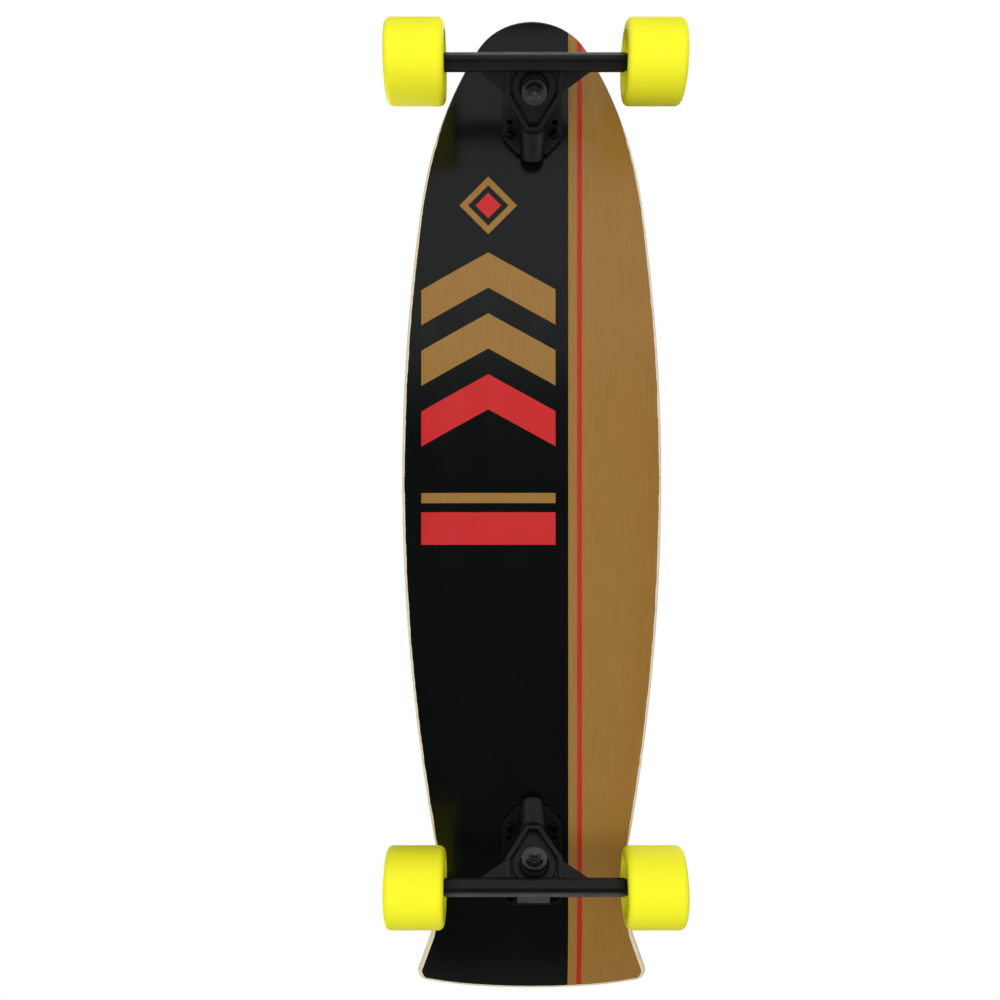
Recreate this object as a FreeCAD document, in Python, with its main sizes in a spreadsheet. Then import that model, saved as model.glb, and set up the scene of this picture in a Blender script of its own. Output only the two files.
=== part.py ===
import FreeCAD, Part
import math
import os
from types import SimpleNamespace

import Sketcher

V = FreeCAD.Vector

# Driving sizes in millimetres, angles in degrees
SIZES = {
    # Deck plan, measured from the nose tip
    "deck_length": 914,
    "deck_width": 245,
    "nose_radius": 60,
    "shoulder_radius": 364,
    "side_radius": 1800,
    "widest_from_nose": 430,
    "waist_width": 172,
    "waist_radius": 120,
    "flare_angle": 19.4,
    "tail_width": 216,
    "tail_corner_radius": 10,
    "tail_end_radius": 680,
    # Deck section and bends
    "deck_thickness": 11,
    "concave_flat_width": 110,
    "concave_rise": 6,
    "tail_kick_length": 82,
    "tail_kick_rise": 13,
    "nose_kick_length": 37,
    "nose_kick_rise": 3.5,
    "deck_edge_round": 3.5,
    "cut_margin": 20,
    # Grip tape
    "grip_thickness": 1,
    "grip_inset": 3,
    "adhesive_gap": 0.15,
    # Deck bolts and nuts
    "bolt_pitch_long": 63.5,
    "bolt_pitch_wide": 41.3,
    "bolt_radius": 2.4,
    "bolt_head_radius": 4.75,
    "bolt_length": 27,
    "bolt_hole_gap": 0.3,
    "bolt_head_gap": 0.15,
    "recess_width": 1.2,
    "recess_span": 5,
    "recess_depth": 1.6,
    "deck_nut_flats": 9.5,
    "deck_nut_height": 4,
    "deck_nut_collar_radius": 4,
    "deck_nut_collar_height": 1.6,
    # Trucks on the deck
    "front_truck_from_nose": 78,
    "rear_truck_from_tail": 126,
    "base_length": 80,
    "base_width": 55,
    "base_thickness": 6.5,
    "base_corner_radius": 9,
    "shoulder_start": 36.5,
    "shoulder_end": 51,
    "shoulder_end_half": 14,
    "spare_hole_shift": 9.5,
    # Steering axis and kingpin ring
    "steer_angle": 45,
    "ring_inboard": 8,
    "ring_drop": 53,
    "axle_ahead": 21,
    "axle_below": 7,
    # Hanger
    "web_thickness": 8,
    "ring_radius": 19,
    "ring_height": 14,
    "ring_bore_radius": 8,
    "gusset_half_span": 61,
    "gusset_root_half": 25,
    "gusset_root_behind": 6,
    "gusset_root_round": 9,
    "nose_tip_behind": 38,
    "nose_tip_half": 6.5,
    "nose_tip_round": 4,
    "shield_rise": 5,
    "shield_rim": 4,
    "beam_width": 14.5,
    "beam_corner_radius": 5,
    "beam_square_length": 156,
    "beam_end_radius": 7,
    # Pivot
    "pivot_radius": 6.5,
    "pivot_tip_behind": 59,
    "pivot_tip_chamfer": 3.5,
    "pivot_gap": 0.1,
    "pivot_end_gap": 0.4,
    "cup_wall": 2.4,
    "cup_floor": 2.6,
    "cup_seat_gap": 0.05,
    "housing_wall": 1.6,
    "housing_floor": 3.6,
    "housing_gap": 2,
    # Kingpin, bushings and washers
    "kingpin_radius": 4.75,
    "kingpin_gap": 0.05,
    "kingpin_socket_depth": 21,
    "kingpin_tail": 3,
    "kingpin_end_chamfer": 1,
    "bushing_radius": 12.3,
    "bushing_seat_gap": 0.7,
    "bushing_bore_gap": 0.35,
    "bushing_waist": 0.8,
    "board_bushing_height": 15,
    "road_bushing_height": 13,
    "road_bushing_end_radius": 9.8,
    "washer_thickness": 2,
    "board_washer_radius": 12.5,
    "road_washer_radius": 11,
    "road_washer_lip": 1.5,
    "kingpin_nut_flats": 14.3,
    "kingpin_nut_height": 6.5,
    "kingpin_nut_collar_radius": 6,
    "kingpin_nut_collar_height": 2.5,
    # Kingpin tower on the baseplate
    "tower_half_width": 14.5,
    "tower_seat_half": 14.5,
    "tower_toe_back": 12,
    "tower_toe_front": 36,
    "tower_crown_ahead": 15.5,
    "tower_crown_rise": 13,
    # Wheels
    "wheel_radius": 35,
    "wheel_width": 51,
    "wheel_lip_round": 5.5,
    "wheel_dish_radius": 26,
    "wheel_dish_floor_radius": 19.5,
    "wheel_track_half": 103,
    "core_radius": 17,
    "core_bond_gap": 0.05,
    "core_overhang": 1,
    "core_stop_radius": 9.5,
    # Bearings, spacers, washers and nuts on the axle
    "axle_radius": 4,
    "axle_gap": 0.05,
    "axle_end_chamfer": 0.8,
    "axle_tail": 2,
    "bearing_radius": 11,
    "bearing_width": 7,
    "bearing_seat_gap": 0.04,
    "bearing_outer_wall": 1.6,
    "bearing_inner_wall": 2,
    "shield_gap": 0.3,
    "shield_thickness": 0.5,
    "spacer_length": 10,
    "spacer_wall": 1.4,
    "speed_washer_wall": 1.7,
    "speed_washer_thickness": 1,
    "axle_nut_flats": 12.7,
    "axle_nut_height": 4.5,
    "axle_nut_collar_radius": 5.4,
    "axle_nut_collar_height": 1.5,
}

doc = FreeCAD.newDocument("longboard")
sheet = doc.addObject("Spreadsheet::Sheet", "Sizes")
for row, (alias, number) in enumerate(SIZES.items(), start=1):
    sheet.set(f"A{row}", alias)
    sheet.set(f"B{row}", str(number))
    sheet.setAlias(f"B{row}", alias)
doc.recompute()


class Dim:
    # A length with the sheet formula that gives it, so a sketch is drawn and bound at once
    def __init__(self, value, formula):
        self.value = value
        self.formula = formula

    def __add__(self, other):
        other = dim(other)
        return Dim(self.value + other.value, f"({self.formula} + {other.formula})")

    def __sub__(self, other):
        other = dim(other)
        return Dim(self.value - other.value, f"({self.formula} - {other.formula})")

    def __mul__(self, other):
        other = dim(other)
        return Dim(self.value * other.value, f"({self.formula} * {other.formula})")

    def __truediv__(self, other):
        other = dim(other)
        return Dim(self.value / other.value, f"({self.formula} / {other.formula})")

    def __neg__(self):
        return Dim(-self.value, f"(-1 * {self.formula})")


def dim(item):
    if isinstance(item, Dim):
        return item
    return Dim(float(item), repr(float(item)))


def root(item):
    return Dim(math.sqrt(item.value), f"sqrt({item.formula})")


def sine(angle):
    return Dim(math.sin(math.radians(angle.value)), f"sin({angle.formula})")


def cosine(angle):
    return Dim(math.cos(math.radians(angle.value)), f"cos({angle.formula})")


S = SimpleNamespace(**{alias: Dim(float(number), f"Sizes.{alias}") for alias, number in SIZES.items()})
ZERO = dim(0)


# Bodies, sketches and features

def new_body(label):
    body = doc.addObject("PartDesign::Body", label)
    body.Label = label
    return body


def origin_plane(body, role):
    return next(item for item in body.Origin.OriginFeatures if item.Role == role)


def new_sketch(body, role, name, offset=None):
    sketch = body.newObject("Sketcher::SketchObject", f"{body.Name}_{name}")
    sketch.AttachmentSupport = (origin_plane(body, role), [""])
    sketch.MapMode = "FlatFace"
    if offset is not None:
        sketch.setExpression("AttachmentOffset.Base.z", offset.formula)
    return sketch


def hold(sketch, kind, geo, size):
    index = sketch.addConstraint(Sketcher.Constraint(kind, geo, size.value))
    sketch.setExpression(f"Constraints[{index}]", size.formula)


def pin_x(sketch, geo, pos, x):
    if x.value == 0:
        sketch.addConstraint(Sketcher.Constraint("PointOnObject", geo, pos, -2))
        return
    index = sketch.addConstraint(Sketcher.Constraint("DistanceX", -1, 1, geo, pos, x.value))
    sketch.setExpression(f"Constraints[{index}]", x.formula)


def pin_y(sketch, geo, pos, y):
    if y.value == 0:
        sketch.addConstraint(Sketcher.Constraint("PointOnObject", geo, pos, -1))
        return
    index = sketch.addConstraint(Sketcher.Constraint("DistanceY", -1, 1, geo, pos, y.value))
    sketch.setExpression(f"Constraints[{index}]", y.formula)


def circle(sketch, x, y, radius):
    x, y = dim(x), dim(y)
    geo = sketch.addGeometry(Part.Circle(V(x.value, y.value, 0), V(0, 0, 1), radius.value))
    pin_x(sketch, geo, 3, x)
    pin_y(sketch, geo, 3, y)
    hold(sketch, "Radius", geo, radius)


def arc_between(start, end, centre):
    # The short arc from start to end, which a sketch keeps anticlockwise
    first = math.atan2(start.y - centre.y, start.x - centre.x)
    last = math.atan2(end.y - centre.y, end.x - centre.x)
    turn = (last - first) % (2 * math.pi)
    ring = Part.Circle(centre, V(0, 0, 1), (start - centre).Length)
    if turn <= math.pi:
        return Part.ArcOfCircle(ring, first, first + turn), 1, 2
    return Part.ArcOfCircle(ring, last, last + 2 * math.pi - turn), 2, 1


def polygon(sketch, points, arcs=None):
    # Closed profile through points; arcs gives (centre x, centre y, radius) for the side after a point
    points = [(dim(x), dim(y)) for x, y in points]
    corners = [V(x.value, y.value, 0) for x, y in points]
    sides = []
    for index, corner in enumerate(corners):
        after = corners[(index + 1) % len(corners)]
        if arcs and index in arcs:
            centre_x, centre_y, radius = arcs[index]
            curve, begin, end = arc_between(corner, after, V(dim(centre_x).value, dim(centre_y).value, 0))
            geo = sketch.addGeometry(curve)
            hold_after = radius
        else:
            geo = sketch.addGeometry(Part.LineSegment(corner, after))
            begin, end, hold_after = 1, 2, None
        sides.append((geo, begin, end, hold_after))
    for index, (geo, begin, end, hold_after) in enumerate(sides):
        follower = sides[(index + 1) % len(sides)]
        sketch.addConstraint(Sketcher.Constraint("Coincident", geo, end, follower[0], follower[1]))
        pin_x(sketch, geo, begin, points[index][0])
        pin_y(sketch, geo, begin, points[index][1])
        if hold_after is not None:
            hold(sketch, "Radius", geo, hold_after)


def hexagon(sketch, flats):
    corner = flats / math.sqrt(3)
    half = corner / 2
    side = flats / 2
    polygon(sketch, [(corner, 0), (half, side), (-half, side), (-corner, 0), (-half, -side), (half, -side)])


def pad(body, sketch, length, symmetric=False, reverse=False):
    feature = body.newObject("PartDesign::Pad", f"{sketch.Name}_pad")
    feature.Profile = sketch
    feature.setExpression("Length", length.formula)
    feature.SideType = "Symmetric" if symmetric else "One side"
    feature.Reversed = reverse
    return feature


def pocket(body, sketch, length=None, reverse=False):
    # A cut through everything, both ways, unless a depth is given
    feature = body.newObject("PartDesign::Pocket", f"{sketch.Name}_pocket")
    feature.Profile = sketch
    if length is None:
        feature.Type = "ThroughAll"
        feature.SideType = "Symmetric"
    else:
        feature.setExpression("Length", length.formula)
        feature.Reversed = reverse
    return feature


def turn(body, sketch, axis, kind="Revolution"):
    feature = body.newObject(f"PartDesign::{kind}", f"{sketch.Name}_turn")
    feature.Profile = sketch
    feature.ReferenceAxis = (sketch, [axis])
    feature.Angle = 360
    return feature


def axis_line(sketch, start, end):
    # A construction line for a revolve
    start = (dim(start[0]), dim(start[1]))
    end = (dim(end[0]), dim(end[1]))
    geo = sketch.addGeometry(
        Part.LineSegment(V(start[0].value, start[1].value, 0), V(end[0].value, end[1].value, 0)), True
    )
    for pos, (x, y) in ((1, start), (2, end)):
        pin_x(sketch, geo, pos, x)
        pin_y(sketch, geo, pos, y)


def round_edges(body, feature, radius, chosen):
    doc.recompute()
    names = [f"Edge{number}" for number, edge in enumerate(feature.Shape.Edges, start=1) if chosen(edge)]
    fillet = body.newObject("PartDesign::Fillet", f"{feature.Name}_round")
    fillet.Base = (feature, names)
    fillet.setExpression("Radius", radius.formula)
    return fillet


def both_halves(label, half):
    # A half body joined with its mirror image across the middle of the board
    image = doc.addObject("Part::Mirroring", f"{half.Name}_image")
    image.Source = half
    image.Normal = V(0, 1, 0)
    whole = doc.addObject("Part::Fuse", label)
    whole.Base = half
    whole.Tool = image
    whole.Refine = True
    whole.Label = label
    return whole


def four_of(label, piece):
    # One fastener repeated at the four bolt places of a truck
    row_image = doc.addObject("Part::Mirroring", f"{piece.Name}_row_image")
    row_image.Source = piece
    row_image.Normal = V(1, 0, 0)
    row = doc.addObject("Part::Compound", f"{piece.Name}_row")
    row.Links = [piece, row_image]
    image = doc.addObject("Part::Mirroring", f"{piece.Name}_image")
    image.Source = row
    image.Normal = V(0, 1, 0)
    group = doc.addObject("Part::Compound", label)
    group.Links = [row, image]
    group.Label = label
    return group


def place(body, x, y, z, yaw=0, pitch=ZERO):
    x, y, z = dim(x), dim(y), dim(z)
    body.setExpression(
        "Placement",
        f"create(<<placement>>; create(<<vector>>; {x.formula}; {y.formula}; {z.formula}); "
        f"create(<<rotation>>; {yaw}; {pitch.formula}; 0))",
    )


def turned(label, role, axis, points):
    # A ring or pin made by turning one profile
    body = new_body(label)
    sketch = new_sketch(body, role, "profile")
    polygon(sketch, points)
    turn(body, sketch, axis)
    return body


def is_along(edge, direction):
    if edge.Curve.TypeId != "Part::GeomLine":
        return False
    return edge.Curve.Direction.cross(direction).Length < 1e-6


# Derived places shared by the pieces
SIN = sine(S.steer_angle)
COS = cosine(S.steer_angle)
HALF_LENGTH = S.deck_length / 2
AXLE_OUT = S.axle_ahead * COS - S.axle_below * SIN - S.ring_inboard
AXLE_DROP = S.ring_drop + S.axle_ahead * SIN + S.axle_below * COS
DECK_HEIGHT = S.wheel_radius + AXLE_DROP
FRONT_X = HALF_LENGTH - S.front_truck_from_nose
REAR_X = S.rear_truck_from_tail - HALF_LENGTH
TRUCKS = {"front": (FRONT_X, 0, 1), "rear": (REAR_X, 180, -1)}
BOLT_X = S.bolt_pitch_long / 2
BOLT_Y = S.bolt_pitch_wide / 2
FLAT_HALF = S.concave_flat_width / 2
RAIL_RUN = S.deck_width / 2 - FLAT_HALF
RAIL_RADIUS = (RAIL_RUN * RAIL_RUN / S.concave_rise + S.concave_rise) / 2
GRIP_BASE = S.deck_thickness + S.adhesive_gap


def bend_radius(length, rise):
    return (length * length / rise + rise) / 2


TAIL_BEND = bend_radius(S.tail_kick_length, S.tail_kick_rise)
NOSE_BEND = bend_radius(S.nose_kick_length, S.nose_kick_rise)
BEND_SPARE = S.cut_margin / 2


# Deck and grip tape: half a concave section, bent up at both ends, trimmed to the plan and mirrored

def half_section(sketch, base, thickness):
    edge = S.deck_width / 2 + BEND_SPARE
    reach = edge - FLAT_HALF
    lower = RAIL_RADIUS - base
    upper = lower - thickness
    points = [
        (0, base),
        (FLAT_HALF, base),
        (edge, RAIL_RADIUS - root(lower * lower - reach * reach)),
        (edge, RAIL_RADIUS - root(upper * upper - reach * reach)),
        (FLAT_HALF, base + thickness),
        (0, base + thickness),
    ]
    centre = (FLAT_HALF, RAIL_RADIUS)
    polygon(sketch, points, {1: (*centre, lower), 3: (*centre, upper)})


def unit(vector):
    return vector / vector.Length


def half_plan(sketch, inset):
    # The waste outside half of the plan: tangent arcs from the nose tip to the tail end, then a box
    half_width = S.deck_width / 2
    widest = HALF_LENGTH - S.widest_from_nose
    nose_x = HALF_LENGTH - S.nose_radius
    tail_x = S.tail_end_radius - HALF_LENGTH
    corner_y = S.tail_width / 2 - S.tail_corner_radius
    waist_y = S.waist_width / 2 + S.waist_radius
    nose_r = S.nose_radius - inset
    shoulder_r = S.shoulder_radius - inset
    side_r = S.side_radius - inset
    waist_r = S.waist_radius + inset
    corner_r = S.tail_corner_radius - inset
    tail_r = S.tail_end_radius - inset

    nose_c = V(nose_x.value, 0, 0)
    side_c = V(widest.value, (half_width - S.side_radius).value, 0)
    tail_c = V(tail_x.value, 0, 0)
    corner_reach = math.sqrt((S.tail_end_radius - S.tail_corner_radius).value ** 2 - corner_y.value ** 2)
    corner_c = V(tail_x.value - corner_reach, corner_y.value, 0)
    from_nose = (S.shoulder_radius - S.nose_radius).value
    from_side = (S.side_radius - S.shoulder_radius).value
    span = side_c - nose_c
    along = (span.Length ** 2 + from_nose ** 2 - from_side ** 2) / (2 * span.Length)
    across = math.sqrt(from_nose ** 2 - along ** 2)
    ahead = unit(span)
    shoulder_c = nose_c + ahead * along - V(-ahead.y, ahead.x, 0) * across
    flare_n = V(sine(S.flare_angle).value, cosine(S.flare_angle).value, 0)
    flare_reach = flare_n.dot(corner_c) + (S.tail_corner_radius + S.waist_radius).value
    waist_c = V((flare_reach - flare_n.y * waist_y.value) / flare_n.x, waist_y.value, 0)
    hip_run = widest.value - waist_c.x
    hip_drop = half_width.value - waist_y.value
    hip_fall = half_width.value - S.waist_width.value / 2
    hip_radius = (hip_run ** 2 + hip_drop ** 2 - S.waist_radius.value ** 2) / (2 * hip_fall)
    hip_c = V(widest.value, half_width.value - hip_radius, 0)

    tip = nose_c + V(nose_r.value, 0, 0)
    nose_end = nose_c + unit(nose_c - shoulder_c) * nose_r.value
    shoulder_end = side_c + unit(shoulder_c - side_c) * side_r.value
    broadest = side_c + V(0, side_r.value, 0)
    hip_end = waist_c + unit(hip_c - waist_c) * waist_r.value
    waist_end = waist_c - flare_n * waist_r.value
    corner_start = corner_c + flare_n * corner_r.value
    corner_end = tail_c + unit(corner_c - tail_c) * tail_r.value
    end = tail_c - V(tail_r.value, 0, 0)

    curves = [
        arc_between(tip, nose_end, nose_c),
        arc_between(nose_end, shoulder_end, shoulder_c),
        arc_between(shoulder_end, broadest, side_c),
        arc_between(broadest, hip_end, hip_c),
        arc_between(hip_end, waist_end, waist_c),
        (Part.LineSegment(waist_end, corner_start), 1, 2),
        arc_between(corner_start, corner_end, corner_c),
        arc_between(corner_end, end, tail_c),
    ]
    geos = [sketch.addGeometry(curve) for curve, begin, finish in curves]
    nose, shoulder, side, hip, dip, flare, corner, tail = geos
    for index in range(len(curves) - 1):
        sketch.addConstraint(Sketcher.Constraint(
            "Tangent", geos[index], curves[index][2], geos[index + 1], curves[index + 1][1]
        ))
    for geo, radius in (
        (nose, nose_r), (shoulder, shoulder_r), (side, side_r),
        (dip, waist_r), (corner, corner_r), (tail, tail_r),
    ):
        hold(sketch, "Radius", geo, radius)
    pin_x(sketch, nose, 3, nose_x)
    pin_y(sketch, nose, 3, ZERO)
    pin_y(sketch, nose, 1, ZERO)
    pin_x(sketch, side, 3, widest)
    pin_y(sketch, side, 3, half_width - S.side_radius)
    pin_x(sketch, side, 2, widest)
    slant = sketch.addConstraint(Sketcher.Constraint("Angle", flare, math.radians(180 - S.flare_angle.value)))
    sketch.setExpression(f"Constraints[{slant}]", f"(180 - {S.flare_angle.formula}) * 1 deg")
    pin_y(sketch, dip, 3, waist_y)
    pin_y(sketch, corner, 3, corner_y)
    pin_x(sketch, tail, 3, tail_x)
    pin_y(sketch, tail, 3, ZERO)
    pin_y(sketch, tail, 2, ZERO)

    far = HALF_LENGTH + S.cut_margin
    wide = half_width + S.cut_margin
    box = [(-far, ZERO), (-far, wide), (far, wide), (far, ZERO)]
    stops = [end] + [V(x.value, y.value, 0) for x, y in box] + [tip]
    last, last_pos = tail, 2
    for index in range(len(stops) - 1):
        line = sketch.addGeometry(Part.LineSegment(stops[index], stops[index + 1]))
        sketch.addConstraint(Sketcher.Constraint("Coincident", last, last_pos, line, 1))
        if index < len(box):
            pin_x(sketch, line, 2, box[index][0])
            pin_y(sketch, line, 2, box[index][1])
        last, last_pos = line, 2
    sketch.addConstraint(Sketcher.Constraint("Coincident", last, 2, nose, 1))


def bent_sheet(label, base, thickness, inset):
    body = new_body(f"{label}_half")
    tail_x = S.tail_kick_length - HALF_LENGTH
    nose_x = HALF_LENGTH - S.nose_kick_length
    flat = new_sketch(body, "YZ_Plane", "flat", tail_x)
    half_section(flat, base, thickness)
    pad(body, flat, nose_x - tail_x)
    for name, place_x, bend, run, reverse in (
        ("tail", tail_x, TAIL_BEND, S.tail_kick_length, False),
        ("nose", nose_x, NOSE_BEND, S.nose_kick_length, True),
    ):
        section = new_sketch(body, "YZ_Plane", name, place_x)
        axis_line(section, (0, bend), (FLAT_HALF, bend))
        half_section(section, base, thickness)
        kick = turn(body, section, "Axis0")
        reach = run + BEND_SPARE
        kick.setExpression("Angle", f"asin({reach.formula} / {bend.formula})")
        kick.Reversed = reverse
    plan = new_sketch(body, "XY_Plane", "plan")
    half_plan(plan, inset)
    trimmed = pocket(body, plan)
    return body, trimmed


def bolt_places():
    return [(truck_x + BOLT_X * sign, BOLT_Y) for truck_x in (FRONT_X, REAR_X) for sign in (1, -1)]


def bolt_holes(body, radius):
    sketch = new_sketch(body, "XY_Plane", "bolt_holes")
    for x, y in bolt_places():
        circle(sketch, x, y, radius)
    return pocket(body, sketch)


def is_rim(edge):
    # Not a seam down the edge of the deck, and not in the mirror plane
    box = edge.BoundBox
    upright = is_along(edge, V(0, 0, 1))
    return not upright and box.YMax > 1e-4


def make_deck():
    body, trimmed = bent_sheet("deck", ZERO, S.deck_thickness, ZERO)
    doc.recompute()
    walls = [
        face for face in trimmed.Shape.Faces
        if abs(face.normalAt(*[sum(pair) / 2 for pair in zip(face.ParameterRange[::2], face.ParameterRange[1::2])]).z) < 1e-6
        and face.BoundBox.YMax > 1e-4
    ]
    rim = [edge.hashCode() for face in walls for edge in face.Edges if is_rim(edge)]
    round_edges(body, trimmed, S.deck_edge_round, lambda edge: edge.hashCode() in rim)
    bolt_holes(body, S.bolt_radius + S.bolt_hole_gap)
    sink = S.bolt_head_radius + S.bolt_head_gap
    for index, (x, y) in enumerate(bolt_places()):
        cone = body.newObject("PartDesign::SubtractiveCone", f"countersink_{index}")
        cone.setExpression("Radius1", "0")
        cone.setExpression("Radius2", sink.formula)
        cone.setExpression("Height", sink.formula)
        cone.AttachmentSupport = (origin_plane(body, "XY_Plane"), [""])
        cone.MapMode = "FlatFace"
        cone.setExpression("AttachmentOffset.Base.x", x.formula)
        cone.setExpression("AttachmentOffset.Base.y", y.formula)
        cone.setExpression("AttachmentOffset.Base.z", (S.deck_thickness - sink).formula)
    whole = both_halves("deck", body)
    place(whole, 0, 0, DECK_HEIGHT)
    return whole


def make_grip():
    body, trimmed = bent_sheet("grip_tape", GRIP_BASE, S.grip_thickness, S.grip_inset)
    bolt_holes(body, S.bolt_head_radius + S.bolt_hole_gap)
    whole = both_halves("grip_tape", body)
    place(whole, 0, 0, DECK_HEIGHT)
    return whole


# Deck bolts and their lock nuts, made at one bolt place of a truck and repeated

def make_bolts(side):
    truck_x, yaw, ahead = TRUCKS[side]
    bolt = new_body(f"{side}_bolt")
    top = S.deck_thickness
    head = S.bolt_head_radius - S.bolt_radius
    profile = new_sketch(bolt, "XZ_Plane", "profile")
    polygon(profile, [
        (0, top), (S.bolt_head_radius, top), (S.bolt_radius, top - head),
        (S.bolt_radius, top - S.bolt_length), (0, top - S.bolt_length),
    ])
    turn(bolt, profile, "V_Axis")
    recess = new_sketch(bolt, "XY_Plane", "recess", top)
    arm = S.recess_width / 2
    reach = S.recess_span / 2
    polygon(recess, [
        (reach, -arm), (reach, arm), (arm, arm), (arm, reach), (-arm, reach), (-arm, arm),
        (-reach, arm), (-reach, -arm), (-arm, -arm), (-arm, -reach), (arm, -reach), (arm, -arm),
    ])
    pocket(bolt, recess, S.recess_depth)
    place(bolt, BOLT_X, BOLT_Y, 0)
    group = four_of(f"{side}_deck_bolts", bolt)
    place(group, truck_x, 0, DECK_HEIGHT)
    return group


def lock_nut(label, role, start, flats, height, collar_radius, collar_height, bore):
    # A hexagon and then a round collar, both growing against the normal of their plane
    nut = new_body(label)
    hexagonal = new_sketch(nut, role, "hexagon", start)
    hexagon(hexagonal, flats)
    circle(hexagonal, 0, 0, bore)
    pad(nut, hexagonal, height, reverse=True)
    collar = new_sketch(nut, role, "collar", start - height)
    circle(collar, 0, 0, collar_radius)
    circle(collar, 0, 0, bore)
    pad(nut, collar, collar_height, reverse=True)
    return nut


def make_deck_nuts(side):
    truck_x, yaw, ahead = TRUCKS[side]
    nut = lock_nut(
        f"{side}_nut", "XY_Plane", -S.base_thickness, S.deck_nut_flats, S.deck_nut_height,
        S.deck_nut_collar_radius, S.deck_nut_collar_height, S.bolt_radius + S.axle_gap,
    )
    place(nut, BOLT_X, BOLT_Y, 0)
    group = four_of(f"{side}_deck_nuts", nut)
    place(group, truck_x, 0, DECK_HEIGHT)
    return group


# Truck pieces. The baseplate lies in the deck's directions; the rest lie along the steering axis:
# X down the axis towards the road, Z along the kingpin towards the deck, origin in the kingpin ring.

WEB_HALF = S.web_thickness / 2
BOARD_WASHER_BASE = WEB_HALF + S.board_bushing_height
TOWER_SEAT = BOARD_WASHER_BASE + S.washer_thickness
KINGPIN_TOP = TOWER_SEAT + S.kingpin_socket_depth
ROAD_WASHER_TOP = -(WEB_HALF + S.road_bushing_height)
KINGPIN_NUT_TOP = ROAD_WASHER_TOP - S.washer_thickness
KINGPIN_END = KINGPIN_NUT_TOP - S.kingpin_nut_height - S.kingpin_nut_collar_height - S.kingpin_tail
SEAT_RADIUS = S.bushing_radius + S.bushing_seat_gap
CUP_BORE = S.pivot_radius + S.pivot_gap
CUP_RADIUS = CUP_BORE + S.cup_wall
HOUSING_BORE = CUP_RADIUS + S.cup_seat_gap
HOUSING_RADIUS = HOUSING_BORE + S.housing_wall
HOUSING_MOUTH = S.nose_tip_behind + S.housing_gap
CUP_FLOOR = S.pivot_tip_behind + S.pivot_end_gap
CUP_END = CUP_FLOOR + S.cup_floor
HOUSING_END = CUP_END + S.cup_seat_gap + S.housing_floor
BEARING_END = S.spacer_length / 2 + S.bearing_width
WASHER_END = BEARING_END + S.speed_washer_thickness
CORE_HALF = BEARING_END + S.core_overhang
HANGER_HALF = S.wheel_track_half - WASHER_END
AXLE_HALF = S.wheel_track_half + WASHER_END + S.axle_nut_height + S.axle_nut_collar_height + S.axle_tail
AXLE_BORE = S.axle_radius + S.axle_gap


def in_truck(along, up):
    # A point of the steering frame, seen in the baseplate's XZ plane
    return (
        along * COS + up * SIN - S.ring_inboard,
        up * COS - along * SIN - S.ring_drop,
    )


def place_level(body, side):
    truck_x, yaw, ahead = TRUCKS[side]
    place(body, truck_x, 0, DECK_HEIGHT, yaw)


def place_steered(body, side):
    truck_x, yaw, ahead = TRUCKS[side]
    place(body, truck_x - S.ring_inboard * ahead, 0, DECK_HEIGHT - S.ring_drop, yaw, S.steer_angle)


def rounded_box(sketch, centre_x, centre_y, length, width, radius):
    centre_x, centre_y = dim(centre_x), dim(centre_y)
    right, left = centre_x + length / 2, centre_x - length / 2
    top, bottom = centre_y + width / 2, centre_y - width / 2
    points = [
        (right, bottom + radius), (right, top - radius), (right - radius, top), (left + radius, top),
        (left, top - radius), (left, bottom + radius), (left + radius, bottom), (right - radius, bottom),
    ]
    centres = {
        1: (right - radius, top - radius, radius), 3: (left + radius, top - radius, radius),
        5: (left + radius, bottom + radius, radius), 7: (right - radius, bottom + radius, radius),
    }
    polygon(sketch, points, centres)


def steered_turn(body, name, radius, start, end, kind):
    # A round boss or bore about the steering axis, from start to end behind the ring
    sketch = new_sketch(body, "XZ_Plane", name)
    axis_line(sketch, in_truck(-end, ZERO), in_truck(-start, ZERO))
    polygon(sketch, [
        in_truck(-start, ZERO), in_truck(-start, -radius), in_truck(-end, -radius), in_truck(-end, ZERO),
    ])
    return turn(body, sketch, "Axis0", kind)


def two_sided(points):
    # A chain of points on the left, closed by its mirror image on the right
    return points + [(x, -dim(y)) for x, y in reversed(points)]


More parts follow.
